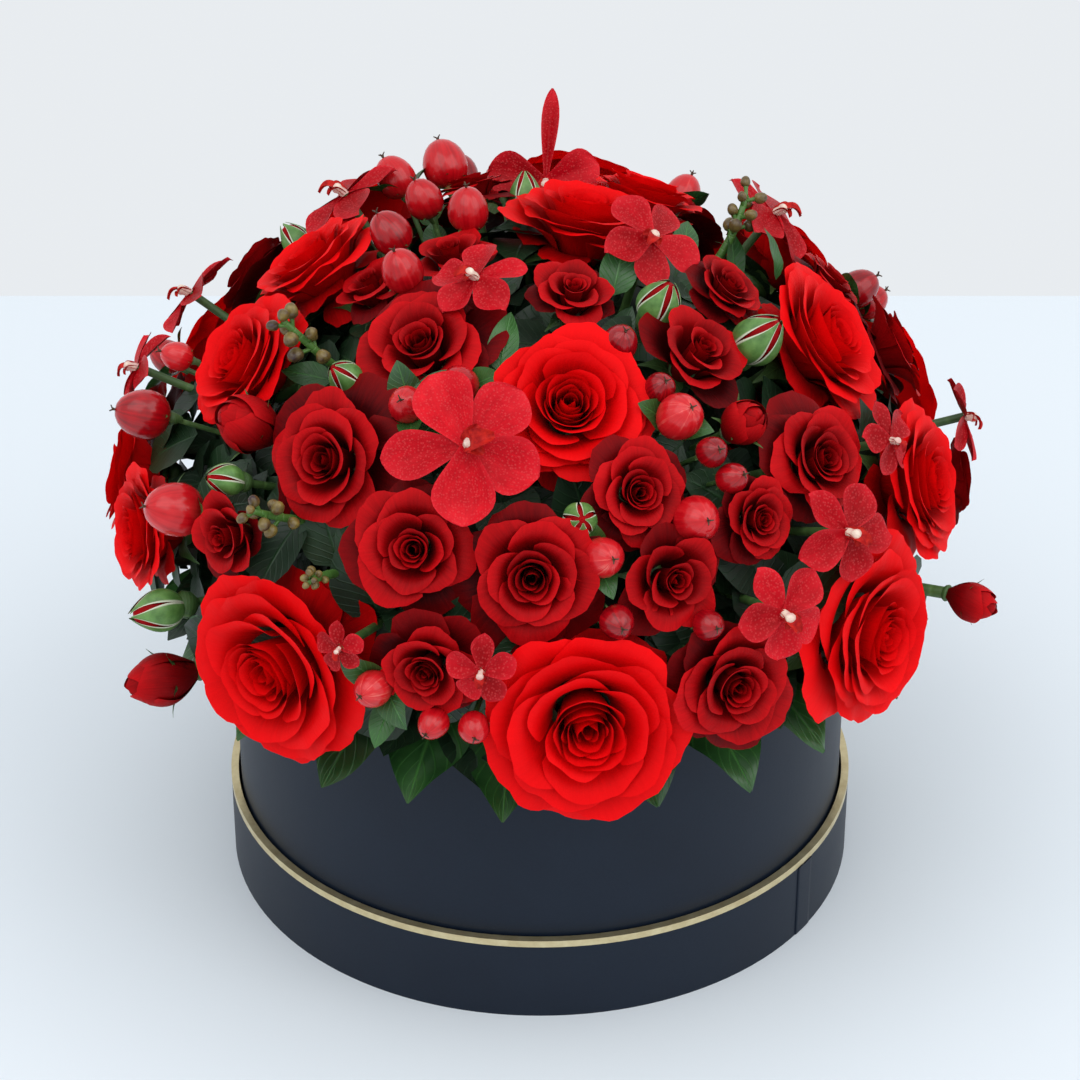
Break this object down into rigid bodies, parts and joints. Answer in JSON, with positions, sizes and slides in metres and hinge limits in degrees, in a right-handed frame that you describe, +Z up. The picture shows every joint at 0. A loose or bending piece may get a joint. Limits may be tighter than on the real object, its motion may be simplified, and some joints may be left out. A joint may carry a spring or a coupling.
{
  "type": "flower box",
  "caption": "Round card hat box standing in its upturned lid, lined, filled with floral foam and set with a dome of red roses, orchids, berries and leaves.",
  "frame": {"origin": "centre of the upturned lid's underside, which is the face the whole box stands on", "axes": "+Z up out of the box, -Y towards the front of the arrangement, +X to its right"},
  "size_m": [0.3076, 0.3048, 0.2626],
  "materials": {
    "grey_board": "matte",
    "black_paper": "satin",
    "gold_foil": "satin",
    "liner_film": "gloss",
    "floral_foam": "matte",
    "garden_rose_petal": "matte",
    "spray_rose_petal": "matte",
    "orchid_petal": "satin",
    "berry_skin": "gloss",
    "green_bud": "satin",
    "orchid_bud": "satin",
    "leaf": "satin"
  },
  "bodies": {
    "lid": {"lid_wall": "grey_board", "lid_top": "grey_board", "lid_cover_paper": "black_paper", "lid_gold_band": "gold_foil"},
    "box": {"box_wall": "grey_board", "box_base": "grey_board", "box_cover_paper": "black_paper"},
    "insert": {"liner": "liner_film", "foam_brick_left": "floral_foam", "foam_brick_right": "floral_foam", "foam_cap": "floral_foam", "garden_rose_1": "garden_rose_petal", "garden_rose_2": "garden_rose_petal", "garden_rose_3": "garden_rose_petal", "garden_rose_4": "garden_rose_petal", "garden_rose_5": "garden_rose_petal", "garden_rose_6": "garden_rose_petal", "garden_rose_7": "garden_rose_petal", "garden_rose_8": "garden_rose_petal", "garden_rose_9": "garden_rose_petal", "garden_rose_10": "garden_rose_petal", "garden_rose_11": "garden_rose_petal", "garden_roses_back": "garden_rose_petal", "spray_rose_1": "spray_rose_petal", "spray_rose_2": "spray_rose_petal", "spray_rose_3": "spray_rose_petal", "spray_rose_4": "spray_rose_petal", "spray_rose_5": "spray_rose_petal", "spray_rose_6": "spray_rose_petal", "spray_rose_7": "spray_rose_petal", "spray_rose_8": "spray_rose_petal", "spray_rose_9": "spray_rose_petal", "spray_rose_10": "spray_rose_petal", "spray_rose_11": "spray_rose_petal", "spray_rose_12": "spray_rose_petal", "spray_rose_13": "spray_rose_petal", "spray_rose_14": "spray_rose_petal", "spray_rose_15": "spray_rose_petal", "spray_rose_16": "spray_rose_petal", "spray_rose_17": "spray_rose_petal", "spray_rose_18": "spray_rose_petal", "spray_rose_19": "spray_rose_petal", "spray_rose_20": "spray_rose_petal", "spray_roses_back": "spray_rose_petal", "spray_roses_deep": "spray_rose_petal", "orchid_1": "orchid_petal", "orchid_2": "orchid_petal", "orchid_3": "orchid_petal", "orchid_4": "orchid_petal", "orchid_5": "orchid_petal", "orchid_6": "orchid_petal", "orchid_7": "orchid_petal", "orchid_8": "orchid_petal", "orchid_9": "orchid_petal", "orchids_side": "orchid_petal", "berries_top": "berry_skin", "berries_left": "berry_skin", "berries_right": "berry_skin", "berries_low": "berry_skin", "berries_back": "berry_skin", "rosebuds": "green_bud", "orchid_tips": "orchid_bud", "leaf_collar": "leaf"}
  },
  "joints": [
    {"name": "box_lift", "type": "slide", "parent": "lid", "child": "box", "axis": [0, 0, 1], "range_m": [0, 0.05]},
    {"name": "insert_lift", "type": "slide", "parent": "box", "child": "insert", "axis": [0, 0, 1], "range_m": [0, 0.13]}
  ]
}
